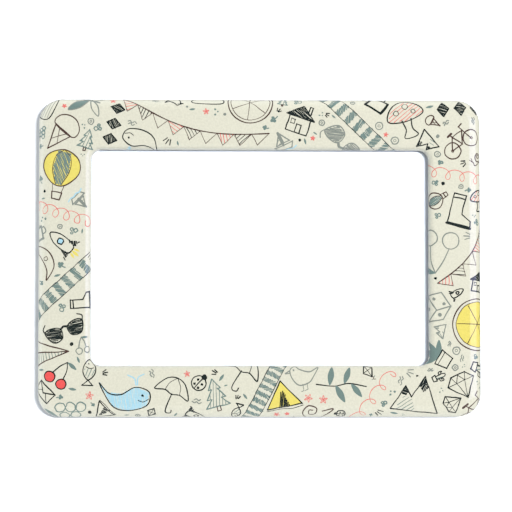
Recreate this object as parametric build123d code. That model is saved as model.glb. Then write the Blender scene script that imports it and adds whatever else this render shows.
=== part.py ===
from build123d import *
import math
import os

# A magnet photo frame of pressed tin, in millimetres, standing as it hangs on a steel door.
# X runs along the width, Z up, and the front faces -Y. The origin is the centre of the overall box.
# Depths are measured backwards from the front face of the tin.

# The standard photograph that the frame takes, and how much of it the window's edges hide
photo_width = 152.4
photo_height = 101.6
photo_thickness = 0.25
hidden_at_sides = 4.6
hidden_at_top_and_bottom = 5.05

# The pressed tin shell: a padded-looking border, rolled at both edges and hemmed at the back
tin_thickness = 0.3
side_border_width = 22.3
end_border_width = 21.7
outer_corner_radius = 10.0
window_corner_radius = 4.2
outer_roll_radius = 5.3
window_roll_radius = 2.6
hem_width = 2.5
hem_inner_radius = 0.2
least_straight = 0.1

# The flat layers inside the shell
filler_thickness = 3.9
pane_thickness = 0.5
board_thickness = 0.8

# Clearances
fit_clearance = 0.2
photo_play = 0.3
photo_side_clearance = 0.5
photo_end_clearance = 0.3
slot_margin = 1.0

# The thumb notch at the top of the back board
thumb_notch_width = 24.0
thumb_notch_corner_radius = 6.0
thumb_reach = 5.0

# The rubber magnets and their sticky tape
magnet_width = 12.7
magnet_thickness = 0.85
tape_thickness = 0.15
tape_setback = 0.4
magnet_side_gap = 9.5
magnet_end_gap = 5.0
magnet_notch_gap = 8.0

# How far every cut runs past the face that it opens
cut_overrun = 2.0

# Outline sizes worked out from the photograph
window_width = photo_width - 2 * hidden_at_sides
window_height = photo_height - 2 * hidden_at_top_and_bottom
outer_width = window_width + 2 * side_border_width
outer_height = window_height + 2 * end_border_width
pocket_width = photo_width + 2 * photo_side_clearance
pocket_bottom = -photo_height / 2 - photo_end_clearance
slot_width = pocket_width + 2 * slot_margin

# Depths of the layers, from front to back
filler_front = tin_thickness + fit_clearance
pane_front = filler_front + filler_thickness
pocket_front = pane_front + pane_thickness
photo_front = pocket_front + photo_play
board_front = photo_front + photo_thickness + photo_play
board_back = board_front + board_thickness
shell_depth = board_back + tin_thickness
magnet_front = board_back + tape_thickness
overall_depth = magnet_front + magnet_thickness
front_y = -overall_depth / 2

# Bends of the tin, each held within the wall that it turns
hem_outer_radius = hem_inner_radius + tin_thickness
outer_roll = min(outer_roll_radius, shell_depth - hem_outer_radius - least_straight)
window_roll = min(window_roll_radius, pane_front - least_straight)
hem_inset = tin_thickness + hem_width

# The way that the photograph slides up, until its lower edge leaves the shell
photo_travel = outer_height / 2 + photo_height / 2


def depth_plane(depth):
    """Return the upright plane at a depth, drawn as X and Z and facing the viewer."""
    return Plane(origin=(0, front_y + depth, 0), x_dir=(1, 0, 0), z_dir=(0, -1, 0))


def slab(outline, front, back):
    """Return an outline made solid between two depths."""
    return extrude(depth_plane(back) * outline, back - front)


def bar(left, right, bottom, top):
    """Return the rectangle between four edges."""
    centre = Pos((left + right) / 2, (bottom + top) / 2)
    return centre * Rectangle(right - left, top - bottom)


def frame_outline(inset):
    """Return the frame's outer outline, drawn in by an inset."""
    corner = outer_corner_radius - inset
    return RectangleRounded(outer_width - 2 * inset, outer_height - 2 * inset, corner)


def window_outline(growth):
    """Return the window's outline, grown all round."""
    corner = window_corner_radius + growth
    return RectangleRounded(window_width + 2 * growth, window_height + 2 * growth, corner)


def inset_inside_roll(roll, depth):
    """Return how far a rolled edge's inner surface stands in from its outermost line at a depth."""
    if depth >= roll:
        return tin_thickness
    inner_roll = roll - tin_thickness
    return roll - math.sqrt(inner_roll ** 2 - (roll - depth) ** 2)


def layer_inset(depth):
    """Return the inset of a flat piece whose front lies at a depth inside the shell."""
    return inset_inside_roll(outer_roll, depth) + fit_clearance


def pillow(offset):
    """Return the frame's outside form with its window, every surface moved inwards by an offset."""
    body = slab(frame_outline(offset), offset, shell_depth - offset)
    front = body.faces().sort_by(Axis.Y)[0]
    body = fillet(front.edges(), outer_roll - offset)
    back = body.faces().sort_by(Axis.Y)[-1]
    body = fillet(back.edges(), hem_outer_radius - offset)
    body -= slab(window_outline(offset), -cut_overrun, shell_depth + cut_overrun)
    front = body.faces().sort_by(Axis.Y)[0]
    return fillet(front.inner_wires()[0].edges(), window_roll - offset)


def front_shell():
    """Return the tin shell: rolled border, window flange, hem and the slot in its top side."""
    shell = pillow(0) - pillow(tin_thickness)
    shell -= slab(frame_outline(hem_inset), pane_front, shell_depth + cut_overrun)
    top = outer_height / 2
    slot = bar(-slot_width / 2, slot_width / 2, top - hem_inset - cut_overrun, top + cut_overrun)
    return shell - slab(slot, pocket_front, shell_depth + cut_overrun)


def filler_frame():
    """Return the die-cut ring that fills the hollow border and seats the pane."""
    window_gap = inset_inside_roll(window_roll, filler_front) + fit_clearance
    ring = frame_outline(layer_inset(filler_front)) - window_outline(window_gap)
    return slab(ring, filler_front, pane_front)


def window_pane():
    """Return the clear sheet behind the window."""
    return slab(frame_outline(layer_inset(pane_front)), pane_front, pocket_front)


def photo_card():
    """Return the photograph, standing in its pocket."""
    card = Rectangle(photo_width, photo_height)
    return slab(card, photo_front, photo_front + photo_thickness)


def pocket_strips():
    """Return the three strips that hold the pane and the board apart round the pocket."""
    layer = frame_outline(layer_inset(pocket_front))
    side = outer_width / 2
    top = outer_height / 2
    pocket_side = pocket_width / 2
    places = {
        "pocket_strip_left": bar(-side, -pocket_side, pocket_bottom, top),
        "pocket_strip_right": bar(pocket_side, side, pocket_bottom, top),
        "pocket_strip_bottom": bar(-side, side, -top, pocket_bottom),
    }
    return {name: slab(layer & place, pocket_front, board_front) for name, place in places.items()}


def back_board():
    """Return the stiff board that closes the back, with its thumb notch."""
    notch_bottom = photo_height / 2 - thumb_reach
    notch_top = outer_height / 2 + thumb_notch_corner_radius
    notch = RectangleRounded(thumb_notch_width, notch_top - notch_bottom, thumb_notch_corner_radius)
    notch = Pos(0, (notch_bottom + notch_top) / 2) * notch
    board = frame_outline(layer_inset(board_front)) - notch
    return slab(board, board_front, board_back)


def magnets_and_tapes():
    """Return the four magnet strips at the corners of the board, each on its sticky tape."""
    outer_end = outer_width / 2 - hem_inset - magnet_side_gap
    inner_end = thumb_notch_width / 2 + magnet_notch_gap
    middle_x = (outer_end + inner_end) / 2
    middle_z = outer_height / 2 - hem_inset - magnet_end_gap - magnet_width / 2
    strip = Rectangle(outer_end - inner_end, magnet_width)
    tape = Rectangle(outer_end - inner_end - 2 * tape_setback, magnet_width - 2 * tape_setback)
    pieces = {}
    for height, up in (("top", 1), ("bottom", -1)):
        for side, right in (("left", -1), ("right", 1)):
            place = Pos(right * middle_x, up * middle_z)
            corner = f"{height}_{side}"
            pieces[f"magnet_tape_{corner}"] = slab(place * tape, board_back, magnet_front)
            pieces[f"magnet_{corner}"] = slab(place * strip, magnet_front, overall_depth)
    return pieces


def frame_pieces():
    """Return every piece of the frame by name."""
    pieces = {
        "front_shell": front_shell(),
        "filler_frame": filler_frame(),
        "window_pane": window_pane(),
        "photo_card": photo_card(),
        "back_board": back_board(),
    }
    pieces.update(pocket_strips())
    pieces.update(magnets_and_tapes())
    return pieces


os.makedirs("parts", exist_ok=True)
for node, piece in frame_pieces().items():
    export_step(piece, f"parts/{node}.step")

print(f"outside {outer_width:.2f} x {outer_height:.2f} x {overall_depth:.2f}")
print(f"window {window_width:.2f} x {window_height:.2f}, photo travel {photo_travel:.2f}")
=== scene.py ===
import bpy
import math
import random
import numpy as np
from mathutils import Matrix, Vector
from mathutils.geometry import convex_hull_2d, delaunay_2d_cdt


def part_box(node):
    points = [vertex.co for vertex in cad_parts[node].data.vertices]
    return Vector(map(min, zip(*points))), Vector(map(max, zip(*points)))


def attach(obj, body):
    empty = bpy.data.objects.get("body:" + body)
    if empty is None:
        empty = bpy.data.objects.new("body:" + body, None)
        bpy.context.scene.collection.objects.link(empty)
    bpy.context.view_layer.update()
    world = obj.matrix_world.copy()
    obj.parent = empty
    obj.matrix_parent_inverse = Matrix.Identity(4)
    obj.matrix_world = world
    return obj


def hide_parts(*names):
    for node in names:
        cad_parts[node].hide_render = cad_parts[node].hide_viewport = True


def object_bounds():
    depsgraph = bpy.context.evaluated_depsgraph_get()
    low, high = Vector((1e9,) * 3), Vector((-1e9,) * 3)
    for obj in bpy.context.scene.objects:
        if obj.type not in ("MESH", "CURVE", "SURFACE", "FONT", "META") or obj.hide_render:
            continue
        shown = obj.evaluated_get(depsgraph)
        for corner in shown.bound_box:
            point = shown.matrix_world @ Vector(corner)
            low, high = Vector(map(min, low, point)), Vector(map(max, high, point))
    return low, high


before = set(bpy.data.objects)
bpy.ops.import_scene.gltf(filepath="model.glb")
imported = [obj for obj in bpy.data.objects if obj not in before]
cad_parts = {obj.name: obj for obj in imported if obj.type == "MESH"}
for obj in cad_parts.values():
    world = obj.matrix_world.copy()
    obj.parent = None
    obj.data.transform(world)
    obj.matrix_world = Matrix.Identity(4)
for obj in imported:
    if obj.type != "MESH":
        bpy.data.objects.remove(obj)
cad_low, cad_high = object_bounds()

# A magnet photo frame of printed tin. The tin is drawn in millimetres on the flat sheet that it is pressed
# from, and then folded round the border. MM turns millimetres into the model's metres.
MM = 0.001
QUARTER = math.pi / 2
FULL = 2 * math.pi

# The pressed tin, as in the model
tin_thickness = 0.3
side_border_width = 22.3
end_border_width = 21.7
outer_corner_radius = 10.0
window_corner_radius = 4.2
outer_roll_radius = 5.3
window_roll_radius = 2.6
hem_inner_radius = 0.2
hem_width = 2.5
slot_margin = 1.0

# How finely the folded sheet is divided
roll_steps = 12
window_roll_steps = 10
hem_bend_steps = 6
corner_steps = 14

# Points that are nearer to each other than this are one, and no length is taken as less before a division
merge_distance = 0.00001
least_length = 0.001

# How much the liner is shrunk on the map, to lie in the window
inner_map_share = 0.6

# The pen: how wide, wavy and shaky its lines are, in how fine steps they are drawn, and how it shades
pen_widths = {"fine": 0.29, "plain": 0.5, "bold": 1.0}
pen_unevenness_share = 0.16
pen_wave = 2.6
hand_shake = 0.07
line_step = 0.45
least_bend = 0.012
cap_turn_shares = (0.25, 0.5, 0.75)
scribble_gap = 0.55
hatch_gap = 1.3
scribble_slip = 0.22
ring_points = 14
leaf_width_share = 0.17

# How the drawings are spread over the border
spread_seed = 5
spread_gap = 0.7
grid_step = 0.6
colour_chance_share = 0.12
pale_chance_share = 0.26
clear_reach_share = 0.2
tries_per_size = 2500
size_shares = (0.95, 0.8, 0.66, 0.54, 0.44, 0.36, 0.28)
small_size_shares = (0.17, 0.13, 0.1)

# Sizes read from the model
shell_low, shell_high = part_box("front_shell")
pane_low, pane_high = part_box("window_pane")
front_y = shell_low.y
outer_half = np.array((shell_high.x, shell_high.z)) / MM
window_half = outer_half - np.array((side_border_width, end_border_width))
shell_depth = (shell_high.y - front_y) / MM
pane_front = (pane_low.y - front_y) / MM
slot_depth = (pane_high.y - front_y) / MM
slot_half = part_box("pocket_strip_right")[0].x / MM + slot_margin

# The folds, as runs of sheet: each is a length and the radius that it bends to, or none where it is flat
hem_outer_radius = hem_inner_radius + tin_thickness
skirt_length = shell_depth - outer_roll_radius - hem_outer_radius
hem_flat = hem_width + tin_thickness - hem_outer_radius
outer_roll_run = QUARTER * outer_roll_radius
hem_bend_run = QUARTER * hem_outer_radius
window_roll_run = QUARTER * window_roll_radius
outer_folds = (
    (outer_roll_run, outer_roll_radius),
    (skirt_length, None),
    (hem_bend_run, hem_outer_radius),
    (hem_flat, None),
)
window_folds = (
    (window_roll_run, window_roll_radius),
    (pane_front - window_roll_radius, None),
)
outer_run = sum(length for length, radius in outer_folds)
window_run = sum(length for length, radius in window_folds)
print_run = outer_run - hem_flat
slot_run = outer_roll_radius * math.acos(1 - slot_depth / outer_roll_radius)

# The flat part of the border ends at these two outlines, and the sheet bends away beyond them
outer_line = (outer_half - outer_roll_radius, outer_corner_radius - outer_roll_radius)
window_line = (window_half + window_roll_radius, window_corner_radius + window_roll_radius)


def follow(folds, run):
    """Return how far out, how deep and how far turned the sheet is after a run along its folds."""
    out, depth, turn = np.zeros((3, len(run)))
    for length, radius in folds:
        step = np.clip(run, 0, length)
        run = run - step
        if radius is None:
            out = out + step * np.cos(turn)
            depth = depth + step * np.sin(turn)
        else:
            turned = turn + step / radius
            out = out + radius * (np.sin(turned) - np.sin(turn))
            depth = depth + radius * (np.cos(turn) - np.cos(turned))
            turn = turned
    return out, depth, turn


def away_from(points, line):
    """Return how far outside a rounded rectangle flat points are, and the direction away from it."""
    half, corner = line
    past = np.abs(points) - (half - corner)
    outside = np.maximum(past, 0)
    reach = np.linalg.norm(outside, axis=1)
    inside = np.minimum(past.max(axis=1), 0)
    nearer_side = (past == past.max(axis=1, keepdims=True)).astype(float)
    direction = np.where(reach[:, None] > 0, outside / np.maximum(reach, least_length)[:, None], nearer_side)
    return reach + inside - corner, direction * np.sign(points)


def fold(points, sink):
    """Return where points of the flat sheet end up and which way they face, sunk into the tin."""
    place = points.copy()
    depth = np.zeros(len(points))
    sideways = np.zeros_like(points)
    forwards = -np.ones(len(points))
    for line, folds, way in ((outer_line, outer_folds, 1), (window_line, window_folds, -1)):
        distance, direction = away_from(points, line)
        bent = way * distance > 0
        out, deep, turn = follow(folds, np.maximum(way * distance, 0))
        foot = points - distance[:, None] * direction
        moved = foot + (way * out)[:, None] * direction
        place[bent] = moved[bent]
        depth[bent] = deep[bent]
        sideways[bent] = ((way * np.sin(turn))[:, None] * direction)[bent]
        forwards[bent] = -np.cos(turn)[bent]
    place = place - sink * sideways
    depth = depth - sink * forwards
    solid = np.column_stack((place[:, 0] * MM, front_y + depth * MM, place[:, 1] * MM))
    facing = np.column_stack((sideways[:, 0], forwards, sideways[:, 1]))
    return solid, facing


def rounded_loop(line, growth):
    """Return the outline of a rounded rectangle grown by a distance, anticlockwise from its right side."""
    half, corner = line
    turns = np.linspace(0, QUARTER, corner_steps + 1)
    points = []
    for number, (right, up) in enumerate(((1, 1), (-1, 1), (-1, -1), (1, -1))):
        centre = (half - corner) * (right, up)
        angle = turns + number * QUARTER
        points.append(centre + (corner + growth) * np.column_stack((np.cos(angle), np.sin(angle))))
    return np.vstack(points)


def sheet_outline():
    """Return the sheet's outer edge, with the notch that becomes the slot in the top side."""
    loop = rounded_loop(outer_line, outer_run)
    top = loop[:, 1].max()
    notch_foot = outer_line[0][1] + slot_run
    notch = np.array(((slot_half, top), (slot_half, notch_foot), (-slot_half, notch_foot), (-slot_half, top)))
    first_corner = corner_steps + 1
    return np.vstack((loop[:first_corner], notch, loop[first_corner:]))


def fold_lines():
    """Return the lines on the flat sheet that follow its bends, so that they come out round."""
    lines = []
    for share in np.linspace(0, 1, roll_steps + 1):
        lines.append(rounded_loop(outer_line, share * outer_roll_run))
    for share in np.linspace(0, 1, hem_bend_steps + 1):
        lines.append(rounded_loop(outer_line, print_run - share * hem_bend_run))
    for share in np.linspace(0, 1, window_roll_steps + 1):
        lines.append(rounded_loop(window_line, -share * window_roll_run))
    return lines


def smooth(points, closed):
    """Return a smooth curve through points, a cubic between each two that its neighbours pull."""
    if closed:
        padded = np.vstack((points[-1:], points, points[:2]))
    else:
        padded = np.vstack((2 * points[0] - points[1], points, 2 * points[-1] - points[-2]))
    parts = []
    for before, start, end, after in zip(padded, padded[1:], padded[2:], padded[3:]):
        steps = max(2, math.ceil(np.linalg.norm(end - start) / line_step))
        share = np.arange(steps)[:, None] / steps
        start_pull = (end - before) / 2
        end_pull = (after - start) / 2
        rise = share * share * (3 - 2 * share)
        swing_out = share * (1 - share) ** 2
        swing_in = share * share * (share - 1)
        parts.append(start + (end - start) * rise + start_pull * swing_out + end_pull * swing_in)
    if not closed:
        parts.append(points[-1:])
    return np.vstack(parts)


def thin(loop):
    """Return a closed loop without the points that hardly bend it."""
    for first in (0, 1):
        chord = np.roll(loop, -1, axis=0) - np.roll(loop, 1, axis=0)
        back = loop - np.roll(loop, 1, axis=0)
        across = np.abs(chord[:, 0] * back[:, 1] - chord[:, 1] * back[:, 0])
        bend = across / np.maximum(np.linalg.norm(chord, axis=1), least_length)
        keep = bend > least_bend
        keep[first::2] = True
        loop = loop[keep]
    return loop


def ribbon(path, width):
    """Return the outline of one pen stroke along a path, uneven and with round ends."""
    ahead = np.gradient(path, axis=0)
    ahead = ahead / np.maximum(np.linalg.norm(ahead, axis=1), least_length)[:, None]
    side = np.column_stack((-ahead[:, 1], ahead[:, 0]))
    steps = np.linalg.norm(np.diff(path, axis=0), axis=1)
    travelled = np.concatenate(((0,), np.cumsum(steps)))
    swell = 1 + pen_unevenness_share * np.sin(travelled / pen_wave + random.uniform(0, FULL))
    half = (width / 2 * swell)[:, None]
    caps = []
    for end, way in ((-1, 1), (0, -1)):
        for turn_share in cap_turn_shares:
            turn = turn_share * math.pi
            reach = way * (side[end] * math.cos(turn) + ahead[end] * math.sin(turn))
            caps.append(path[end] + half[end] * reach)
    halfway = len(cap_turn_shares)
    left = path + half * side
    right = path - half * side
    return thin(np.vstack((left, caps[:halfway], right[::-1], caps[halfway:])))


def shaken(points):
    """Return points moved a little, as by an unsteady hand."""
    return points + np.array([[random.gauss(0, hand_shake) for axis in range(2)] for point in points])


def straight(start, end):
    """Return a nearly straight pen line between two points."""
    steps = max(1, round(np.linalg.norm(end - start) / pen_wave))
    share = np.linspace(0, 1, steps + 1)[:, None]
    return smooth(shaken(start + (end - start) * share), False)


def crossings(region, gap, angle):
    """Return the stretches of parallel lines that lie inside a region."""
    turn = np.array(((math.cos(angle), -math.sin(angle)), (math.sin(angle), math.cos(angle))))
    level = region @ turn
    following = np.roll(level, -1, axis=0)
    stretches = []
    for height in np.arange(level[:, 1].min() + gap / 2, level[:, 1].max(), gap):
        crossed = (level[:, 1] > height) != (following[:, 1] > height)
        start, end = level[crossed], following[crossed]
        share = (height - start[:, 1]) / (end[:, 1] - start[:, 1])
        places = np.sort(start[:, 0] + share * (end[:, 0] - start[:, 0]))
        for left, right in zip(places[::2], places[1::2]):
            stretches.append(np.array(((left, height), (right, height))) @ turn.T)
    return stretches


def leaf_outline(foot, tip):
    """Return a pointed leaf between two points."""
    along = tip - foot
    across = np.array((-along[1], along[0])) * leaf_width_share
    middle = (foot + tip) / 2
    return smooth(np.array((foot, middle + across, tip, middle - across)), True)


def circle(centre, radius):
    """Return a circle that isn't quite round."""
    angle = np.arange(ring_points) * FULL / ring_points
    points = np.column_stack((np.cos(angle), np.sin(angle)))
    return smooth(shaken(centre + radius * points), True)


def round_trip(loop):
    """Return a loop's points with the first one again at the end."""
    return np.vstack((loop, loop[:1]))


class Pen:
    """Draws marks on the flat sheet: each is a closed loop and the ink that fills it."""

    def __init__(self):
        """Start without any marks."""
        self.marks = []

    def fill(self, ink, loop):
        """Fill a loop with ink."""
        self.marks.append((thin(loop), ink))

    def stroke(self, ink, weight, path):
        """Draw one stroke along a path."""
        self.marks.append((ribbon(path, pen_widths[weight]), ink))

    def straights(self, ink, weight, points):
        """Draw a nearly straight line from each point to the next."""
        for start, end in zip(points, points[1:]):
            self.stroke(ink, weight, straight(start, end))

    def shade(self, ink, weight, region, gap):
        """Shade a region with parallel lines."""
        angle = random.uniform(0, math.pi)
        for start, end in crossings(region, gap, angle):
            slip = random.uniform(-scribble_slip, scribble_slip)
            nudge = (end - start) / max(np.linalg.norm(end - start), line_step) * slip
            self.stroke(ink, weight, straight(start + nudge, end - nudge))

    def circles(self, kind, ink, weight, centres, radii):
        """Draw rings, or fill discs."""
        for centre, radius in zip(centres, radii):
            outline = circle(centre, radius)
            if kind == "disc":
                self.fill(ink, outline)
            else:
                self.stroke(ink, weight, round_trip(outline))

    def leaves(self, kind, ink, weight, points):
        """Fill leaves, or draw the outlines of petals."""
        for foot, tip in zip(points[::2], points[1::2]):
            outline = leaf_outline(foot, tip)
            if kind == "leaf":
                self.fill(ink, outline)
            else:
                self.stroke(ink, weight, outline)

    def mark(self, kind, ink, weight, points):
        """Make one mark of a drawing, its points already on the sheet."""
        if kind in ("leaf", "petal"):
            self.leaves(kind, ink, weight, points)
        elif kind == "line":
            self.stroke(ink, weight, smooth(shaken(points), False))
        elif kind == "loop":
            self.stroke(ink, weight, round_trip(smooth(shaken(points), True)))
        elif kind == "zigzag":
            self.straights(ink, weight, points)
        elif kind == "block":
            self.straights(ink, weight, round_trip(points))
        elif kind == "panel":
            self.fill(ink, points)
        elif kind == "wash":
            self.fill(ink, smooth(points, True))
        elif kind == "scribble":
            self.shade(ink, "plain", points, scribble_gap)
        elif kind == "hatch":
            self.shade(ink, "fine", points, hatch_gap)


def both(how, ink, shares):
    """Return a mark of a drawing and its mirror image."""
    return (how, ink, shares), (how, ink, [(-across, up) for across, up in shares])


# The drawings, in shares of their own size: how each mark is made, its ink and its points.
# A ring or disc has a centre and a radius. A leaf or petal runs from each foot to the tip that follows it.
mug_side_shares = [(-.36, .26), (-.3, -.4), (.14, -.4), (.2, .26)]
cap_shares = [(-.44, .02), (-.32, .3), (0, .44), (.32, .3), (.44, .02), (0, -.07)]
spot_shares = [(-.2, .18, .06), (.06, .28, .07), (.22, .11, .05)]
cherry_shares = [(-.22, -.26, .17), (.22, -.3, .16)]
canopy_shares = [(0, .46), (.26, .36), (.46, .02), (.2, .08), (0, .02), (-.2, .08), (-.46, .02),
                 (-.26, .36)]
envelope_shares = [(-.46, -.28), (.46, -.28), (.46, .28), (-.46, .28)]
balloon_shares = [(0, .5), (.3, .36), (.36, .08), (.13, -.2), (-.13, -.2), (-.36, .08), (-.3, .36)]
kite_shares = [(0, .5), (.28, .14), (0, -.28), (-.28, .14)]
boot_shares = [(-.26, .46), (.1, .46), (.1, -.1), (.4, -.26), (.42, -.42), (-.26, -.42)]
whale_shares = [(-.5, .34), (-.34, .12), (-.1, .06), (.2, .16), (.46, .02), (.38, -.22), (0, -.28),
                (-.3, -.14)]
moon_shares = [(.1, .46), (-.26, .3), (-.36, -.06), (-.16, -.38), (.22, -.44), (-.04, -.22), (-.1, .06),
               (-.04, .3)]
tent_shares = [(0, .38), (.48, -.32), (-.48, -.32)]
roof_shares = [(-.46, .06), (0, .44), (.46, .06)]
hull_shares = [(-.44, -.12), (.44, -.12), (.28, -.36), (-.3, -.36)]
cone_shares = [(-.2, 0), (.2, 0), (0, -.5)]
gem_shares = [(-.44, .12), (-.24, .36), (.24, .36), (.44, .12), (0, -.42)]
pine_shares = [(0, .48), (.18, .18), (.09, .18), (.28, -.1), (.14, -.1), (.36, -.34), (-.36, -.34),
               (-.14, -.1), (-.28, -.1), (-.09, .18), (-.18, .18)]
lens_shares = [(-.46, .1), (-.28, .16), (-.08, .08), (-.12, -.14), (-.34, -.16)]
lozenge_shares = [(0, .16), (.12, 0), (0, -.16), (-.12, 0)]
cloud_shares = [(-.4, -.06), (-.47, .08), (-.32, .18), (-.2, .34), (.02, .34), (.14, .22), (.32, .26),
                (.46, .08), (.36, -.07)]
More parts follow.
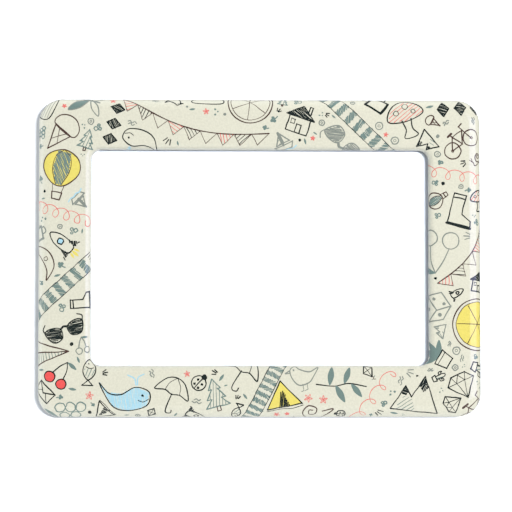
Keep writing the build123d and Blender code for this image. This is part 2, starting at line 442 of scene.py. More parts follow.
drawing_shares = {
    "mug": [
        ("panel", "blue", mug_side_shares),
        ("bold block", "dark", mug_side_shares),
        ("line", "dark", [(.19, .16), (.38, .18), (.42, -.1), (.16, -.2)]),
        ("fine line", "brown", [(-.22, .32), (-.15, .39), (-.23, .46), (-.17, .52)]),
        ("fine line", "brown", [(-.02, .32), (.05, .39), (-.03, .46), (.03, .52)]),
    ],
    "sprig": [
        ("line", "dark", [(-.1, -.5), (-.02, -.16), (-.03, .16), (.08, .5)]),
        ("leaf", "teal", [(-.05, -.24), (-.42, -.14), (-.03, -.12), (.34, .02), (-.04, .06), (-.36, .22),
                          (-.02, .2), (.28, .38)]),
    ],
    "cloud": [
        ("loop", "dark", cloud_shares),
        ("leaf", "blue", [(-.26, -.16), (-.32, -.38), (-.04, -.18), (-.1, -.46), (.2, -.16), (.14, -.38)]),
    ],
    "kite": [
        ("panel", "coral", [(0, .5), (.28, .14), (0, .14)]),
        ("panel", "yellow", [(0, .14), (-.28, .14), (0, -.28)]),
        ("block", "dark", kite_shares),
        ("fine zigzag", "dark", [(0, .5), (0, -.28)]),
        ("fine zigzag", "dark", [(-.28, .14), (.28, .14)]),
        ("fine line", "brown", [(0, -.28), (.08, -.36), (-.03, -.42), (.08, -.5)]),
        ("leaf", "teal", [(.06, -.36), (.18, -.3), (-.02, -.43), (-.14, -.4)]),
    ],
    "dart": [
        ("hatch", "teal", [(-.12, -.04), (.5, .36), (-.02, -.34)]),
        ("block", "brown", [(-.5, .1), (.5, .36), (-.02, -.34), (-.12, -.04)]),
        ("zigzag", "brown", [(-.12, -.04), (.5, .36)]),
    ],
    "mushroom": [
        ("hatch", "red", cap_shares),
        ("loop", "dark", cap_shares),
        ("disc", "ground", spot_shares),
        ("fine ring", "dark", spot_shares),
        ("line", "dark", [(-.12, -.04), (-.09, -.28), (-.17, -.46), (0, -.5), (.17, -.46), (.09, -.28),
                          (.12, -.04)]),
    ],
    "fish": [
        ("hatch", "teal", [(-.2, .06), (0, .2), (.12, .18), (.1, -.18), (-.06, -.18)]),
        ("loop", "dark", [(.46, .02), (.26, .2), (-.04, .22), (-.28, .02), (-.04, -.2), (.26, -.18)]),
        ("block", "dark", [(-.28, .02), (-.5, .22), (-.46, -.18)]),
        ("fine line", "dark", [(.18, .16), (.13, .01), (.18, -.14)]),
        ("disc", "dark", [(.3, .06, .03)]),
    ],
    "umbrella": [
        ("wash", "blue", canopy_shares),
        ("loop", "dark", canopy_shares),
        *both("fine line", "dark", [(0, .46), (-.15, .28), (-.2, .08)]),
        ("line", "dark", [(0, .04), (0, -.36), (.05, -.47), (.15, -.44), (.15, -.36)]),
    ],
    "balloon": [
        ("wash", "yellow", balloon_shares),
        ("scribble", "teal", [(-.13, .45), (.13, .45), (.16, .1), (.06, -.2), (-.06, -.2), (-.16, .1)]),
        ("loop", "brown", balloon_shares),
        *both("fine line", "brown", [(0, .5), (.15, .34), (.17, .08), (.06, -.2)]),
        *both("fine zigzag", "brown", [(-.12, -.2), (-.09, -.36)]),
        ("block", "brown", [(-.1, -.36), (-.08, -.5), (.08, -.5), (.1, -.36)]),
    ],
    "cactus": [
        ("hatch", "teal", [(-.12, .44), (.12, .44), (.12, -.22), (-.12, -.22)]),
        ("line", "dark", [(-.12, -.22), (-.13, .3), (0, .48), (.13, .3), (.12, -.22)]),
        ("line", "dark", [(.13, -.04), (.32, 0), (.33, .22), (.25, .24), (.22, .1), (.13, .08)]),
        ("line", "dark", [(-.13, .04), (-.3, .06), (-.32, .28), (-.24, .3), (-.21, .16), (-.13, .16)]),
        ("panel", "coral", [(-.22, -.22), (.22, -.22), (.16, -.48), (-.16, -.48)]),
        ("block", "dark", [(-.22, -.22), (.22, -.22), (.16, -.48), (-.16, -.48)]),
    ],
    "cherries": [
        ("disc", "coral", cherry_shares),
        ("ring", "dark", cherry_shares),
        ("line", "dark", [(-.2, -.1), (-.08, .18), (.08, .42)]),
        ("line", "dark", [(.2, -.14), (.18, .16), (.08, .42)]),
        ("leaf", "teal", [(.08, .42), (.44, .34)]),
    ],
    "slice": [
        ("disc", "yellow", [(0, 0, .4)]),
        ("ring", "brown", [(0, 0, .46)]),
        ("fine ring", "brown", [(0, 0, .4)]),
        ("fine zigzag", "brown", [(-.38, .02), (.38, -.01)]),
        ("fine zigzag", "brown", [(-.2, -.33), (.18, .34)]),
        ("fine zigzag", "brown", [(-.19, .34), (.2, -.33)]),
    ],
    "peaks": [
        ("scribble", "dark", [(-.32, .05), (-.24, .2), (-.16, .07), (-.24, -.01)]),
        ("scribble", "dark", [(.05, .24), (.15, .44), (.25, .22), (.15, .12)]),
        ("hatch", "teal", [(-.24, -.01), (-.08, -.08), (0, -.3), (-.42, -.3)]),
        ("block", "dark", [(-.5, -.32), (-.24, .2), (-.09, -.02), (.15, .44), (.5, -.32)]),
    ],
    "house": [
        ("scribble", "dark", roof_shares),
        ("block", "dark", roof_shares),
        ("zigzag", "dark", [(-.34, .06), (-.34, -.44), (.34, -.44), (.34, .06)]),
        ("block", "dark", [(-.06, -.44), (-.06, -.16), (.1, -.16), (.1, -.44)]),
        ("fine block", "dark", [(-.26, -.04), (-.26, -.18), (-.14, -.18), (-.14, -.04)]),
        ("zigzag", "dark", [(.2, .3), (.2, .46), (.3, .46), (.3, .22)]),
    ],
    "pine": [
        ("hatch", "teal", pine_shares),
        ("block", "teal", pine_shares),
        ("zigzag", "brown", [(-.05, -.34), (-.05, -.48), (.05, -.48), (.05, -.34)]),
    ],
    "snail": [
        ("line", "brown", [(.1, .06), (.04, .12), (-.04, .04), (.06, -.06), (.2, .04), (.1, .22),
                           (-.12, .18), (-.2, -.04), (-.06, -.22)]),
        ("line", "brown", [(-.46, .12), (-.4, -.04), (-.44, -.2), (-.2, -.27), (.2, -.27), (.48, -.26),
                           (.24, -.12)]),
        ("fine zigzag", "brown", [(-.46, .12), (-.5, .26)]),
        ("fine zigzag", "brown", [(-.42, .08), (-.38, .24)]),
    ],
    "boat": [
        ("panel", "coral", hull_shares),
        ("block", "dark", hull_shares),
        ("bold zigzag", "dark", [(0, -.12), (0, .46)]),
        ("block", "dark", [(.05, .42), (.34, -.04), (.05, -.04)]),
        ("hatch", "grey", [(-.05, .34), (-.3, -.04), (-.05, -.04)]),
        ("block", "dark", [(-.05, .34), (-.3, -.04), (-.05, -.04)]),
        ("line", "blue", [(-.5, -.42), (-.3, -.36), (-.1, -.44), (.1, -.37), (.3, -.44), (.5, -.38)]),
    ],
    "rocket": [
        ("loop", "dark", [(0, .5), (.15, .26), (.16, -.1), (.1, -.24), (-.1, -.24), (-.16, -.1),
                          (-.15, .26)]),
        ("disc", "blue", [(0, .14, .08)]),
        ("ring", "dark", [(0, .14, .08)]),
        *both("scribble", "dark", [(.16, -.02), (.32, -.28), (.11, -.22)]),
        ("leaf", "yellow", [(0, -.26), (0, -.5), (-.07, -.26), (-.12, -.44), (.07, -.26), (.12, -.44)]),
    ],
    "cone": [
        ("panel", "yellow", cone_shares),
        ("block", "brown", cone_shares),
        *both("fine zigzag", "brown", [(-.1, 0), (.08, -.3)]),
        ("loop", "brown", [(-.22, 0), (-.26, .18), (-.1, .32), (.1, .32), (.26, .18), (.22, 0)]),
        ("disc", "coral", [(0, .42, .07)]),
    ],
    "envelope": [
        ("block", "dark", envelope_shares),
        ("zigzag", "dark", [(-.46, .28), (0, -.04), (.46, .28)]),
        *both("fine zigzag", "dark", [(-.46, -.28), (-.12, .02)]),
        ("disc", "coral", [(0, -.03, .08)]),
    ],
    "tent": [
        ("panel", "yellow", tent_shares),
        ("block", "dark", tent_shares),
        ("scribble", "dark", [(0, .18), (.14, -.32), (-.14, -.32)]),
        ("fine line", "dark", [(-.5, -.38), (-.1, -.36), (.2, -.4), (.5, -.37)]),
    ],
    "die": [
        *both("block", "dark", [(-.34, .12), (0, 0), (0, -.42), (-.34, -.28)]),
        ("zigzag", "dark", [(-.34, .12), (0, .28), (.34, .12)]),
        ("disc", "dark", [(0, .14, .05), (-.24, -.02, .04), (-.1, -.26, .04), (.17, -.14, .05)]),
    ],
    "butterfly": [
        ("leaf", "teal", [(0, .04), (-.46, .4), (0, .04), (.46, .4)]),
        ("petal", "dark", [(0, .04), (-.46, .4), (0, .04), (.46, .4), (0, -.02), (-.34, -.34), (0, -.02),
                           (.34, -.34)]),
        ("bold zigzag", "dark", [(0, .16), (0, -.24)]),
        *both("fine line", "dark", [(0, .16), (-.06, .28), (-.14, .34)]),
    ],
    "bird": [
        ("scribble", "blue", [(-.3, .1), (-.06, .2), (.2, .02), (.14, -.22), (-.14, -.24), (-.3, -.06)]),
        ("loop", "dark", [(-.34, .22), (-.18, .3), (-.06, .16), (.22, .02), (.48, .1), (.28, -.14),
                          (.1, -.28), (-.18, -.28), (-.34, -.04)]),
        ("block", "dark", [(-.36, .2), (-.5, .15), (-.36, .12)]),
        ("disc", "dark", [(-.24, .19, .03)]),
        ("fine zigzag", "dark", [(-.08, -.28), (-.1, -.46), (-.18, -.48)]),
        ("fine zigzag", "dark", [(.04, -.28), (.03, -.46), (-.05, -.48)]),
    ],
    "gem": [
        ("panel", "blue", gem_shares),
        ("block", "dark", gem_shares),
        ("fine zigzag", "dark", [(-.44, .12), (.44, .12)]),
        ("fine zigzag", "dark", [(-.24, .36), (-.14, .12), (0, -.42), (.14, .12), (.24, .36)]),
        ("fine zigzag", "dark", [(-.14, .12), (0, .36), (.14, .12)]),
    ],
    "grapes": [
        ("ring", "teal", [(-.22, .1, .1), (0, .12, .1), (.22, .08, .1), (-.11, -.08, .1),
                          (.11, -.1, .1), (0, -.28, .1)]),
        ("leaf", "teal", [(0, .28), (.38, .42)]),
        ("line", "dark", [(0, .22), (-.02, .36), (-.12, .48)]),
    ],
    "spectacles": [
        *both("scribble", "dark", lens_shares),
        *both("loop", "dark", lens_shares),
        ("bold line", "dark", [(-.08, .07), (0, .11), (.08, .07)]),
        *both("line", "dark", [(-.46, .1), (-.48, .2), (-.4, .28)]),
    ],
    "moon": [
        ("wash", "yellow", moon_shares),
        ("loop", "brown", moon_shares),
        ("fine ring", "brown", [(-.2, .04, .05), (-.08, -.28, .04)]),
    ],
    "boot": [
        ("panel", "yellow", boot_shares),
        ("block", "dark", boot_shares),
        ("zigzag", "dark", [(-.26, .34), (.1, .34)]),
        ("bold zigzag", "dark", [(-.28, -.46), (.44, -.46)]),
    ],
    "ladybird": [
        ("disc", "coral", [(0, -.04, .32)]),
        ("ring", "dark", [(0, -.04, .32)]),
        ("disc", "dark", [(0, .32, .13), (-.13, .06, .06), (.14, .02, .06), (-.12, -.18, .06),
                          (.12, -.2, .06)]),
        ("zigzag", "dark", [(0, .26), (0, -.36)]),
    ],
    "whale": [
        ("scribble", "blue", whale_shares),
        ("loop", "dark", whale_shares),
        ("disc", "dark", [(.32, -.02, .025)]),
        ("fine line", "dark", [(.44, -.1), (.32, -.14), (.22, -.1)]),
        ("line", "blue", [(.22, .2), (.2, .34), (.08, .42)]),
        ("line", "blue", [(.24, .2), (.28, .34), (.4, .4)]),
    ],
    "diamonds": [
        (how, "dark", [(middle_share + across, up) for across, up in lozenge_shares])
        for how in ("scribble", "block") for middle_share in (-.36, 0, .36)
    ],
    "kettle": [
        ("hatch", "grey", [(-.3, -.32), (-.34, 0), (-.16, .24), (.16, .24), (.34, 0), (.3, -.32)]),
        ("loop", "dark", [(-.28, -.34), (-.35, -.04), (-.18, .22), (.18, .22), (.35, -.04), (.28, -.34)]),
        ("bold line", "dark", [(-.24, .18), (-.2, .42), (.02, .5), (.22, .42), (.24, .18)]),
        ("line", "dark", [(.33, -.08), (.44, .06), (.5, .22)]),
        ("line", "dark", [(.35, .04), (.4, .14), (.42, .24)]),
        ("disc", "dark", [(0, .28, .05)]),
    ],
    "pot plant": [
        ("leaf", "teal", [(0, -.08), (-.4, .24), (0, -.08), (-.12, .48), (0, -.08), (.2, .44), (0, -.08),
                          (.44, .16)]),
        ("block", "dark", [(-.24, -.08), (.24, -.08), (.17, -.46), (-.17, -.46)]),
        ("fine zigzag", "dark", [(-.22, -.18), (.22, -.18)]),
    ],
    "bicycle": [
        ("ring", "brown", [(-.28, -.12, .2), (.28, -.12, .2)]),
        ("fine ring", "brown", [(-.28, -.12, .03), (.28, -.12, .03)]),
        ("zigzag", "brown", [(-.28, -.12), (-.1, .16), (.2, .16), (.02, -.12), (-.28, -.12)]),
        ("zigzag", "brown", [(.02, -.12), (-.12, .24)]),
        ("zigzag", "brown", [(.28, -.12), (.18, .28), (.28, .3)]),
        ("bold zigzag", "brown", [(-.18, .24), (-.06, .24)]),
    ],
}
small_shares = {
    "dots": [("disc", "teal", [(-.3, .1, .12), (.08, .24, .1), (.22, -.2, .13)])],
    "bubbles": [("ring", "teal", [(-.22, -.18, .22), (.24, -.1, .16), (.02, .28, .13)])],
    "ring": [("ring", "grey", [(0, 0, .42)]), ("fine ring", "grey", [(0, 0, .14)])],
    "drop": [("leaf", "teal", [(-.1, -.46), (.12, .46)])],
    "two drops": [("leaf", "teal", [(-.24, -.4), (-.14, .38)]), ("leaf", "blue", [(.24, -.3), (.22, .22)])],
    "dashes": [
        ("zigzag", "dark", [(-.2, -.3), (-.44, .24)]),
        ("zigzag", "dark", [(0, -.26), (.02, .4)]),
        ("zigzag", "dark", [(.2, -.32), (.42, .2)]),
    ],
    "clover": [
        ("disc", "teal", [(-.2, .08, .19), (.2, .08, .19), (0, .32, .19)]),
        ("line", "teal", [(0, .08), (.02, -.2), (.12, -.46)]),
    ],
    "posy": [
        ("fine petal", "red", [(0, 0), (0, .48), (0, 0), (.46, .14), (0, 0), (.28, -.4), (0, 0),
                               (-.28, -.4), (0, 0), (-.46, .14)]),
    ],
    "pebble": [("disc", "dark", [(0, 0, .22)])],
    "ripple": [
        ("line", "grey", [(-.5, .08), (-.26, .22), (0, .02), (.26, .2), (.5, .06)]),
        ("line", "grey", [(-.4, -.22), (-.18, -.08), (.06, -.26), (.32, -.12)]),
    ],
}

# The large drawings: name, place across and up in shares of the frame's half size, size in shares of the
# border's width, turn in shares of a full turn, and whether its coloured inks are printed
large_shares = [
    ("balloon", -.9, .52, .98, -.03, True),
    ("mushroom", .66, .88, .8, .05, True),
    ("umbrella", -.4, -.86, .76, -.06, False),
    ("slice", .985, -.42, 1.1, 0, True),
    ("whale", -.6, -.87, .98, .02, True),
    ("boot", .9, .3, .66, -.04, False),
    ("tent", .1, -.86, .72, .03, True),
    ("spectacles", -.875, -.46, .84, .06, False),
    ("house", .18, .87, .62, -.05, False),
    ("peaks", .7, -.87, .92, -.02, False),
    ("diamonds", -.66, .84, .86, .21, False),
    ("bicycle", .9, .74, .8, .1, False),
    ("rocket", -.88, .08, .72, .14, True),
    ("cherries", -.9, -.72, .6, -.08, True),
    ("gem", .91, -.8, .62, .07, False),
    ("pine", -.2, -.86, .66, .04, False),
]

# Long bands: the two ends in shares of the frame's half size, and the number of cells, flags or curls
scarf_shares = [((-.10, -1.16, .10, -.62), 13), ((.60, .62, .16, 1.22), 12), ((-1.14, -.50, -.76, -.02), 10)]
bunting_shares = [((-.62, 1.02, .04, .78), 9), ((.80, -.16, 1.02, .22), 5)]
yarn_shares = [((-1.10, .36, -.76, .22), 7), ((.42, -1.04, .60, -.70), 4), ((.74, .55, 1.12, .47), 6)]
scarf_width = 6.0
scarf_cell_shares = (0.0, 0.5)
fringe_threads = 6
fringe_length = 2.2
flag_length = 5.0
flag_inks = ("red", "dark", None)
bunting_sag_share = 0.1
yarn_curl = 2.3
yarn_curl_points = 8

# Which marks are left out of a drawing without its colours, and which inks turn grey in a pale one
filled_kinds = ("panel", "wash", "disc", "leaf", "scribble", "hatch")
bright_inks = ("yellow", "coral", "blue")
line_inks = ("dark", "brown")


def put(shares, place, size, turn):
    """Return points given in shares of a drawing's size, moved to its place on the sheet."""
    points = np.array(shares, float)[:, :2] * size
    cosine, sine = math.cos(turn), math.sin(turn)
    return points @ np.array(((cosine, sine), (-sine, cosine))) + place


def draw(pen, marks, place, size, turn, coloured, pale):
    """Draw one drawing of the tables on the sheet, with or without its colours, and pale or dark."""
    for how, ink, shares in marks:
        weight, _, kind = how.rpartition(" ")
        weight = weight or "plain"
        if kind in filled_kinds and ink in bright_inks and not coloured:
            continue
        if pale and ink in line_inks:
            ink = "grey"
        points = put(shares, place, size, turn)
        if kind in ("ring", "disc"):
            pen.circles(kind, ink, weight, points, [radius * size for _, _, radius in shares])
        else:
            pen.mark(kind, ink, weight, points)


def draw_scarf(pen, start, end, cells):
    """Draw a knitted band in blocks of colour, with a fringe at each end."""
    along = (end - start) / cells
    ahead = along / np.linalg.norm(along)
    across = np.array((-ahead[1], ahead[0])) * scarf_width / 2
    for cell in range(cells):
        near, far = (start + along * (cell + share) for share in scarf_cell_shares)
        block = np.array((near - across, near + across, far + across, far - across))
        pen.shade("teal", "plain", block, scribble_gap)
    for edge in (-across, across):
        pen.straights("dark", "fine", np.array((start + edge, end + edge)))
    for tip, way in ((start, -1), (end, 1)):
        for share in np.linspace(-1, 1, fringe_threads):
            foot = tip + across * share
            pen.straights("dark", "fine", np.array((foot, foot + way * fringe_length * ahead)))


def draw_bunting(pen, start, end, flags):
    """Draw a string of small flags that hangs between two points."""
    share = np.linspace(0, 1, flags + 1)[:, None]
    along = end - start
    down = np.array((along[1], -along[0]))
    string = start + along * share + down * bunting_sag_share * np.sin(share * math.pi)
    pen.stroke("brown", "plain", smooth(string, False))
    fall = down / np.linalg.norm(down) * flag_length
    for number, (left, right) in enumerate(zip(string, string[1:])):
        flag = np.array((left, right, (left + right) / 2 + fall))
        ink = flag_inks[number % len(flag_inks)]
        if ink:
            pen.shade(ink, "fine", flag, hatch_gap)
        pen.straights("brown", "fine", round_trip(flag))


def draw_yarn(pen, start, end, curls):
    """Draw a loose thread that curls along between two points."""
    turn = np.linspace(0, curls * FULL, curls * yarn_curl_points + 1)[:, None]
    along = end - start
    ahead = along / np.linalg.norm(along)
    across = np.array((-ahead[1], ahead[0]))
    curl = yarn_curl * (across * np.sin(turn) - ahead * np.cos(turn))
    pen.stroke("red", "fine", smooth(shaken(start + along * turn / turn[-1] + curl), False))


def winding(points, loop):
    """Return how many times a closed loop runs round each point."""
    x, y = points[:, 0, None], points[:, 1, None]
    start, end = loop, np.roll(loop, -1, axis=0)
    side = (end[:, 0] - start[:, 0]) * (y - start[:, 1]) - (x - start[:, 0]) * (end[:, 1] - start[:, 1])
    up = (start[:, 1] <= y) & (end[:, 1] > y) & (side > 0)
    down = (start[:, 1] > y) & (end[:, 1] <= y) & (side < 0)
    return up.sum(axis=1) - down.sum(axis=1)


class Grid:
    """Keeps count of the parts of the sheet that are drawn on already."""

    def __init__(self):
        """Lay an empty grid over the sheet."""
        reach = outer_line[0] + outer_run
        across = np.arange(-reach[0], reach[0], grid_step)
        up = np.arange(-reach[1], reach[1], grid_step)
        self.corner = -reach
        self.rows = len(up)
        self.places = np.array(np.meshgrid(across, up)).reshape(2, -1).T
        self.taken = np.zeros(len(self.places), bool)

    def free(self, spot, reach):
        """Return whether nothing is drawn within reach of a spot."""
        column, row = ((spot - self.corner) / grid_step).astype(int)
        steps = int(reach / grid_step)
        near = self.taken.reshape(self.rows, -1)
        near = near[max(row - steps, 0):row + steps + 1, max(column - steps, 0):column + steps + 1]
        return not near.any()

    def covered(self, marks):
        """Return the places that a drawing and the gap round it cover."""
        points = np.vstack([loop for loop, ink in marks])
        hull = points[convex_hull_2d([tuple(point) for point in points])]
        middle = hull.mean(axis=0)
        reach = np.linalg.norm(hull - middle, axis=1, keepdims=True)
        hull = middle + (hull - middle) * (1 + spread_gap / reach)
        beside = (self.places > hull.min(axis=0)) & (self.places < hull.max(axis=0))
        near = np.flatnonzero(beside.all(axis=1))
        return near[winding(self.places[near], hull) != 0]


def random_spot():
    """Return a random place on the border."""
    while True:
        spot = np.array([random.uniform(-half, half) for half in outer_half])
        if away_from(spot[None], window_line)[0][0] > 0:
            return spot


def spread(grid, marks, drawings, sizes):
    """Fill the free places of the border with drawings, the larger ones first."""
    names = []
    for size_share in sizes:
        for attempt in range(tries_per_size):
            if not names:
                names = sorted(drawings)
                random.shuffle(names)
            size = size_share * end_border_width
            spot = random_spot()
            if not grid.free(spot, clear_reach_share * size):
                continue
            pen = Pen()
            coloured = random.random() < colour_chance_share
            pale = random.random() < pale_chance_share
            draw(pen, drawings[names[-1]], spot, size, random.uniform(0, FULL), coloured, pale)
            covered = grid.covered(pen.marks)
            if len(covered) and not grid.taken[covered].any():
                grid.taken[covered] = True
                marks.extend(pen.marks)
                names.pop()


def placed_pens():
    """Return the pens that drew the large drawings and the long bands, one for each."""
    pens = []
    for name, across, up, size_share, turn_share, coloured in large_shares:
        pen = Pen()
        place = np.array((across, up)) * outer_half
        size = size_share * end_border_width
        draw(pen, drawing_shares[name], place, size, turn_share * FULL, coloured, False)
        pens.append(pen)
    bands = ((draw_scarf, scarf_shares), (draw_bunting, bunting_shares), (draw_yarn, yarn_shares))
    for draw_band, band_shares in bands:
        for end_shares, count in band_shares:
            pen = Pen()
            start, end = np.reshape(end_shares, (2, 2)) * outer_half
            draw_band(pen, start, end, count)
            pens.append(pen)
    return pens


def printed_marks():
    """Return all marks of the print, in the order in which they are drawn."""
    random.seed(spread_seed)
    grid = Grid()
    marks = []
    for pen in placed_pens():
        grid.taken[grid.covered(pen.marks)] = True
        marks.extend(pen.marks)
    spread(grid, marks, drawing_shares, size_shares)
    spread(grid, marks, small_shares, small_size_shares)
    return marks


def triangulate(loops):
    """Return the points and triangles of the plane, cut along closed loops."""
    points, edges = [], []
    for loop in loops:
        first, count = len(points), len(loop)
        points.extend(Vector(point) for point in loop.tolist())
        edges.extend((first + step, first + (step + 1) % count) for step in range(count))
    corners, _, triangles, *_ = delaunay_2d_cdt(points, edges, [], 0, merge_distance, False)
    return np.array(corners), np.array(triangles)


def flat_sheet(borders, lines):
    """Return the sheet's points, its triangles and their middles. Its hole's border runs clockwise."""
    corners, triangles = triangulate([*borders, *lines])
    middles = corners[triangles].mean(axis=1)
    on_sheet = sum(winding(middles, border) for border in borders) != 0
    return corners, triangles[on_sheet], middles[on_sheet]


def pick_inks(middles, marks):
    """Return the number of the ink that is uppermost at each place, or bare tin on the hem."""
    order = np.argsort(middles[:, 0])
    ordered = middles[order]
    inks = np.full(len(middles), ink_names.index("ground"))
    for loop, ink in marks:
        low, high = loop.min(axis=0), loop.max(axis=0)
        first, last = np.searchsorted(ordered[:, 0], (low[0], high[0]))
        near = first + np.flatnonzero((ordered[first:last, 1] > low[1]) & (ordered[first:last, 1] < high[1]))
        inside = winding(ordered[near], loop) != 0
        inks[order[near[inside]]] = ink_names.index(ink)
    inks[away_from(middles, outer_line)[0] > print_run] = ink_names.index("tin")
    return inks


def edge_pairs(triangles):
    """Return the edges that only one triangle has, each in that triangle's direction."""
    edges = np.vstack((triangles[:, (0, 1)], triangles[:, (1, 2)], triangles[:, (2, 0)]))
    keys = np.sort(edges, axis=1)
    _, first, count = np.unique(keys, axis=0, return_index=True, return_counts=True)
    return edges[first[count == 1]]


def edge_loops(points, edges):
    """Return the closed loops that directed edges make up."""
    following = dict(edges.tolist())
    loops = []
    while following:
        first, step = following.popitem()
        loop = [first]
        while step != first:
            loop.append(step)
            step = following.pop(step)
        loops.append(points[loop])
    return loops


def rim_faces(first, count):
    """Return the faces of the cut edge, whose points on the skin come before those on the liner."""
    starts = first + 2 * np.arange(count)
    return np.column_stack((starts + 1, starts, starts + 2 * count, starts + 2 * count + 1)).tolist()


def rim_facing(rim_places):
    """Return which way each point of the cut edge faces."""
    skin_side, liner_side = np.split(rim_places, 2)
    across = skin_side[::2] - skin_side[1::2]
    inwards = skin_side[::2] - liner_side[::2]
    facing = np.cross(across, inwards)
    facing = facing / np.linalg.norm(facing, axis=1, keepdims=True)
    return np.tile(np.repeat(facing, 2, axis=0), (2, 1))


def lay_out_sheet(mesh, skin, liner, rim_first):
    """Give the mesh a map that is the flat sheet itself, with the rest of its faces in its window."""
    reach = outer_line[0] + outer_run
    flat = np.zeros((len(mesh.vertices), 2))
    flat[:len(skin)] = skin / reach
    flat[len(skin):rim_first] = liner / reach * inner_map_share
    layer = mesh.uv_layers.new(name="OFBake")
    corners = np.empty(len(mesh.loops), np.int32)
    mesh.loops.foreach_get("vertex_index", corners)
    layer.data.foreach_set("uv", ((1 + flat[corners]) / 2).astype(np.float32).ravel())


def tin_mesh(materials):
    """Return the folded tin: printed skin, bare liner, and the cut edge that joins them."""
    marks = printed_marks()
    lines = fold_lines()
    borders = (sheet_outline(), rounded_loop(window_line, -window_run)[::-1])
    skin, skin_triangles, middles = flat_sheet(borders, [*lines, *(loop for loop, ink in marks)])
    rim = edge_pairs(skin_triangles)
    liner, liner_triangles, _ = flat_sheet(edge_loops(skin, rim), lines)
    skin_places, skin_facing = fold(skin, 0)
    liner_places, liner_facing = fold(liner, tin_thickness)
    rim_places = np.vstack((skin_places[rim.ravel()], fold(skin[rim.ravel()], tin_thickness)[0]))
    rim_first = len(skin) + len(liner)
    liner_faces = (liner_triangles[:, ::-1] + len(skin)).tolist()
    mesh = bpy.data.meshes.new("tin_shell")
    places = np.vstack((skin_places, liner_places, rim_places))
    faces = skin_triangles.tolist() + liner_faces + rim_faces(rim_first, len(rim))
    mesh.from_pydata(places.tolist(), [], faces)
    for material in materials:
        mesh.materials.append(material)
    bare = np.full(len(liner_faces) + len(rim), ink_names.index("tin"))
    inks = np.concatenate((pick_inks(middles, marks), bare))
    mesh.polygons.foreach_set("material_index", inks.astype(np.int32))
    lay_out_sheet(mesh, skin, liner, rim_first)
    facing = np.vstack((skin_facing, -liner_facing, rim_facing(rim_places)))
    mesh.shade_smooth()
    mesh.normals_split_custom_set_from_vertices(facing.tolist())
    return mesh


# Colours, from nought to one as a screen shows them
ink_colours = {
    "ground": (0.904, 0.899, 0.828),
    "dark": (0.13, 0.17, 0.165),
    "brown": (0.33, 0.25, 0.23),
    "teal": (0.47, 0.56, 0.54),
    "grey": (0.56, 0.59, 0.56),
    "blue": (0.70, 0.88, 0.95),
    "red": (0.93, 0.46, 0.44),
    "yellow": (0.95, 0.89, 0.46),
    "coral": (0.97, 0.38, 0.37),
    "tin": (0.72, 0.72, 0.70),
}
ink_names = list(ink_colours)

# How a screen's colours stand for amounts of light
screen_offset = 0.055
screen_power = 2.4

# The print under its lacquer. Grains are noise scales in waves to the metre, details the finer waves in
# them, and bumps depths in metres.
ink_strength_share = 0.60
print_grain = 1300
print_detail = 2
print_grain_share = 0.16
ink_roughness = (0.42, 0.5)
lacquer_grain = 160
lacquer_detail = 3
lacquer_bump = 0.000006
lacquer_roughness = 0.12

# The bare tin
brushed_grain = 400
brushed_detail = 4
brushed_share = 0.85
tin_roughness = (0.3, 0.42)

# The clear sheet: how much it mirrors head on, and how steeply that grows towards a glancing view
head_on_mirror_share = 0.035
mirror_power = 5
sheet_roughness = (0.03, 0.07)

# The matt materials: darkest and lightest colour, grain, bump and range of roughness
matt_detail = 6
paper_back_share = 0.56
matt_looks = {
    "photo_paper": ((0.905, 0.932, 0.975), (0.92, 0.948, 0.988), 1400, 0.00001, (0.3, 0.4)),
    "grey_board": ((0.66, 0.62, 0.55), (0.76, 0.73, 0.67), 900, 0.00005, (0.8, 0.95)),
    "foam_tape": ((0.88, 0.87, 0.82), (0.94, 0.93, 0.89), 1400, 0.00001, (0.6, 0.8)),
    "magnet_rubber": ((0.15, 0.14, 0.13), (0.23, 0.22, 0.21), 700, 0.00003, (0.5, 0.7)),
    "floor": ((0.83, 0.83, 0.82), (0.86, 0.86, 0.85), 60, 0.0001, (0.8, 0.9)),
    "wall": ((0.87, 0.885, 0.91), (0.89, 0.905, 0.93), 60, 0.0001, (0.8, 0.9)),
}


def linear(colour):
    """Return a screen colour as the amounts of light that it stands for."""
    return [((part + screen_offset) / (1 + screen_offset)) ** screen_power for part in colour]


def new_shader(name):
    """Return a new material with its node tree and its one shader."""
    material = bpy.data.materials.new(name)
    material.use_nodes = True
    tree = material.node_tree
    return material, tree, tree.nodes["Principled BSDF"]


def set_inputs(tree, node, inputs):
    """Set a node's inputs to values, or link them to the outputs of other nodes."""
    for name, value in inputs.items():
        if isinstance(value, bpy.types.NodeSocket):
            tree.links.new(value, node.inputs[name])
        else:
            node.inputs[name].default_value = value


def add_node(tree, kind, inputs, **settings):
    """Return the outputs of a new node with its settings and inputs."""
    node = tree.nodes.new(f"ShaderNode{kind}")
    for name, value in settings.items():
        setattr(node, name, value)
    set_inputs(tree, node, inputs)
    return node.outputs


def noise(tree, scale, detail):
    """Return fine noise that is fixed to the object."""
    place = add_node(tree, "TexCoord", {})["Object"]
    return add_node(tree, "TexNoise", {"Scale": scale, "Detail": detail, "Vector": place})["Fac"]


def blended(tree, amount, low, high):
    """Return the colour between two that an amount picks."""
    inputs = {"Factor": amount, "A": (*low, 1), "B": (*high, 1)}
    return add_node(tree, "Mix", inputs, data_type="RGBA")["Result"]


def ranged(tree, amount, low, high, start=0, end=1):
    """Return the value between two that an amount picks on its way from a start to an end."""
    inputs = {"Value": amount, "From Min": start, "From Max": end, "To Min": low, "To Max": high}
    return add_node(tree, "MapRange", inputs)["Result"]


def bumped(tree, amount, depth):
    """Return a surface's direction, as raised and sunk by an amount."""
    return add_node(tree, "Bump", {"Distance": depth, "Height": amount})["Normal"]


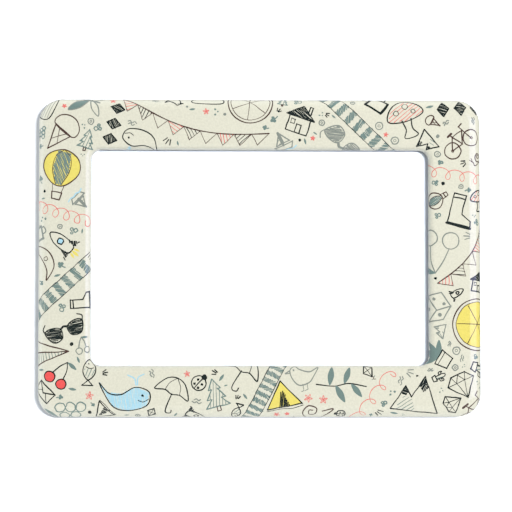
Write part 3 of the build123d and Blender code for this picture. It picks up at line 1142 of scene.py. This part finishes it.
def mix_shaders(tree, amount, first, second, output):
    """Show the first of two shaders, or by an amount the second."""
    mixed = add_node(tree, "MixShader", {"Fac": amount, 1: first, 2: second})["Shader"]
    tree.links.new(mixed, tree.nodes[output].inputs["Surface"])


def lacquered_ink(name):
    """Return a printing ink under glossy lacquer."""
    material, tree, shader = new_shader(f"printed_{name}")
    colour = np.array(linear(ink_colours[name])) * ink_strength_share
    spread = colour * print_grain_share
    grain = noise(tree, print_grain, print_detail)
    set_inputs(tree, shader, {
        "Base Color": blended(tree, grain, colour - spread, colour + spread),
        "Roughness": ranged(tree, grain, *ink_roughness),
        "Specular IOR Level": 0,
        "Coat Weight": 1,
        "Coat Roughness": lacquer_roughness,
        "Coat Normal": bumped(tree, noise(tree, lacquer_grain, lacquer_detail), lacquer_bump),
    })
    return material


def bare_tin():
    """Return tinned steel as it is on the hem, the inside and the cut edge."""
    material, tree, shader = new_shader("bare_tin")
    colour = np.array(linear(ink_colours["tin"]))
    grain = noise(tree, brushed_grain, brushed_detail)
    set_inputs(tree, shader, {
        "Base Color": blended(tree, grain, colour * brushed_share, colour),
        "Roughness": ranged(tree, grain, *tin_roughness),
        "Metallic": 1,
    })
    return material


def matt(name):
    """Return a matt material with its own grain."""
    low, high, scale, depth, roughness = matt_looks[name]
    material, tree, shader = new_shader(name)
    grain = noise(tree, scale, matt_detail)
    set_inputs(tree, shader, {
        "Base Color": blended(tree, grain, linear(low), linear(high)),
        "Roughness": ranged(tree, grain, *roughness),
        "Normal": bumped(tree, grain, depth),
    })
    return material


def photo_paper():
    """Return photo paper, white on its face and greyer on its back."""
    material = matt("photo_paper")
    tree = material.node_tree
    shader = tree.nodes["Principled BSDF"]
    facing = add_node(tree, "TexCoord", {})["Normal"]
    backwards = add_node(tree, "SeparateXYZ", {"Vector": facing})["Y"]
    tone = ranged(tree, backwards, 1, paper_back_share)
    face = shader.inputs["Base Color"].links[0].from_socket
    toned = add_node(tree, "VectorMath", {"Vector": face, "Scale": tone}, operation="SCALE")["Vector"]
    set_inputs(tree, shader, {"Base Color": toned})
    return material


def clear_sheet():
    """Return thin clear plastic that lets the light through and mirrors a little of the room."""
    material, tree, shader = new_shader("clear_sheet")
    tree.nodes.remove(shader)
    through = add_node(tree, "BsdfTransparent", {})["BSDF"]
    roughness = ranged(tree, noise(tree, lacquer_grain, lacquer_detail), *sheet_roughness)
    gloss = add_node(tree, "BsdfGlossy", {"Roughness": roughness})["BSDF"]
    slant = add_node(tree, "LayerWeight", {})["Facing"]
    steep = add_node(tree, "Math", {0: slant, 1: mirror_power}, operation="POWER")["Value"]
    mix_shaders(tree, ranged(tree, steep, head_on_mirror_share, 1), through, gloss, "Material Output")
    return material


def one_sided(material):
    """Let a material be seen from its front alone."""
    tree = material.node_tree
    backfacing = add_node(tree, "NewGeometry", {})["Backfacing"]
    through = add_node(tree, "BsdfTransparent", {})["BSDF"]
    mix_shaders(tree, backfacing, tree.nodes["Principled BSDF"].outputs["BSDF"], through, "Material Output")
    return material


def dress(material, *nodes):
    """Give nodes of the model a material."""
    for name in nodes:
        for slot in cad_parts[name].material_slots:
            slot.material = material


def dress_model():
    """Give every node that stays its material."""
    corners = [f"{height}_{side}" for height in ("top", "bottom") for side in ("left", "right")]
    strips = [f"pocket_strip_{side}" for side in ("left", "right", "bottom")]
    dress(clear_sheet(), "window_pane")
    dress(photo_paper(), "photo_card")
    dress(matt("grey_board"), "back_board", "filler_frame", *strips)
    dress(matt("foam_tape"), *(f"magnet_tape_{corner}" for corner in corners))
    dress(matt("magnet_rubber"), *(f"magnet_{corner}" for corner in corners))


def add_object(name, data):
    """Return a new object of the scene."""
    thing = bpy.data.objects.new(name, data)
    bpy.context.scene.collection.objects.link(thing)
    return thing


def add_tin_shell():
    """Put the folded tin in the place of the model's shell."""
    materials = [bare_tin() if name == "tin" else lacquered_ink(name) for name in ink_names]
    shell = add_object("tin_shell", tin_mesh(materials))
    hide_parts("front_shell")
    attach(shell, "frame")


# The studio: the camera stands a little left of the frame's middle and below it
camera_distance = 0.8
camera_left_turn = math.radians(1.7)
camera_low_turn = math.radians(2.4)
photo_pixels = 512
metres_per_pixel = 0.0004227
middle_pixel = (260.3, 257.5)
floor_drop = 0.125
floor_half = 0.4
wall_top = 0.3
wall_gap = 0.0006

# The soft lights: how far to the right and up they stand, how wide and high they look, and their strength.
# The key light is a little warm and the gloss a little blue.
light_distance = 3.0
key_turns = (math.radians(23.5), math.radians(6.5))
key_angles = (math.radians(13), math.radians(6))
key_brightness = 186
key_tint_shares = (1, 0.987, 0.97)
gloss_turns = (math.radians(47), 0)
gloss_angles = (math.radians(66), math.radians(34))
gloss_brightness = 4.3
gloss_tint_shares = (0.60, 0.62, 1)

# The room is a little cool, which shows in the shadows. Its brightness is given at its left and right, and
# then the share of it at places from the back of the room, nought, to the front, one.
room_tint_shares = (0.97, 1, 1.04)
room_brightness = (5.4, 1.4)
room_shares = ((0, .38), (.26, .38), (.34, .80), (.46, .80), (.54, .45), (.64, .34), (.74, .11), (1, .11))
mirrored_room_share = 0.35


def add_camera():
    """Stand the camera where the photograph's was."""
    data = bpy.data.cameras.new("camera")
    data.lens = data.sensor_width * camera_distance / (photo_pixels * metres_per_pixel)
    camera = add_object("camera", data)
    bpy.context.scene.camera = camera
    across, down = (photo_pixels / 2 - place for place in middle_pixel)
    aim = Vector((across * metres_per_pixel, front_y, -down * metres_per_pixel))
    back = Vector((-math.tan(camera_left_turn), -1, -math.tan(camera_low_turn))).normalized()
    camera.location = Vector((0, front_y, 0)) + back * camera_distance
    camera.rotation_mode = "QUATERNION"
    camera.rotation_quaternion = (aim - camera.location).to_track_quat("-Z", "Y")


def add_softbox(name, turns, angles, brightness, tint, mirrored):
    """Add a soft light that lights the frame, or that is only mirrored in it."""
    right_turn, up_turn = turns
    width, height = (2 * light_distance * math.tan(angle / 2) for angle in angles)
    data = bpy.data.lights.new(name, "AREA")
    data.shape = "RECTANGLE"
    data.size = width
    data.size_y = height
    data.energy = brightness * math.pi * width * height
    data.color = tint
    light = add_object(name, data)
    level = math.cos(up_turn)
    direction = Vector((math.sin(right_turn) * level, -math.cos(right_turn) * level, math.sin(up_turn)))
    light.location = direction * light_distance
    light.visible_camera = False
    light.visible_diffuse = not mirrored
    light.visible_glossy = mirrored
    light.rotation_mode = "QUATERNION"
    light.rotation_quaternion = direction.to_track_quat("Z", "Y")


def add_plane(name, corners, material, *rays):
    """Return a flat plane between four corners, which some kinds of rays don't meet."""
    mesh = bpy.data.meshes.new(name)
    mesh.from_pydata(corners, [], [(0, 1, 2, 3)])
    mesh.materials.append(material)
    plane = add_object(name, mesh)
    for ray in rays:
        setattr(plane, f"visible_{ray}", False)
    return plane


def add_floor():
    """Lay a plain pale floor well below the frame, which hangs."""
    corners = [(x * floor_half, y * floor_half, -floor_drop) for x, y in ((-1, -1), (1, -1), (1, 1), (-1, 1))]
    floor = add_plane("floor", corners, matt("floor"), "diffuse", "shadow")


def add_wall():
    """Hang the frame on a plain white wall, which shows its shadow and leaves its back open to view."""
    wall_y = cad_high.y + wall_gap
    places = ((-1, -floor_drop), (1, -floor_drop), (1, wall_top), (-1, wall_top))
    corners = [(x * floor_half, wall_y, z) for x, z in places]
    material = one_sided(matt("wall"))
    wall = add_plane("wall", corners, material, "diffuse", "glossy", "transmission", "shadow")


def add_room():
    """Surround the frame with soft light, which is seen as plain white."""
    world = bpy.data.worlds.new("room")
    bpy.context.scene.world = world
    world.use_nodes = True
    tree = world.node_tree
    seen = tree.nodes["Background"]
    seen.inputs["Color"].default_value = (1, 1, 1, 1)
    place = add_node(tree, "TexCoord", {})["Generated"]
    parts = add_node(tree, "SeparateXYZ", {"Vector": place})
    ramp = tree.nodes.new("ShaderNodeValToRGB")
    set_inputs(tree, ramp, {"Fac": ranged(tree, parts["Y"], 0, 1, 1, -1)})
    stops = ramp.color_ramp.elements
    while len(stops) < len(room_shares):
        stops.new(0)
    for stop, (position, level) in zip(stops, room_shares):
        stop.position = position
        stop.color = (*(level * part for part in room_tint_shares), 1)
    sight = add_node(tree, "LightPath", {})
    sideways = ranged(tree, parts["X"], *room_brightness, -1, 1)
    dimmed = ranged(tree, sight["Is Glossy Ray"], 1, mirrored_room_share)
    strength = add_node(tree, "Math", {0: sideways, 1: dimmed}, operation="MULTIPLY")["Value"]
    lit = add_node(tree, "Background", {"Color": ramp.outputs["Color"], "Strength": strength})["Background"]
    mix_shaders(tree, sight["Is Camera Ray"], lit, seen.outputs["Background"], "World Output")


bpy.context.scene.view_settings.view_transform = "Standard"
add_camera()
add_room()
add_softbox("key_light", key_turns, key_angles, key_brightness, key_tint_shares, False)
add_softbox("side_gloss", gloss_turns, gloss_angles, gloss_brightness, gloss_tint_shares, True)
add_floor()
add_wall()
dress_model()
add_tin_shell()
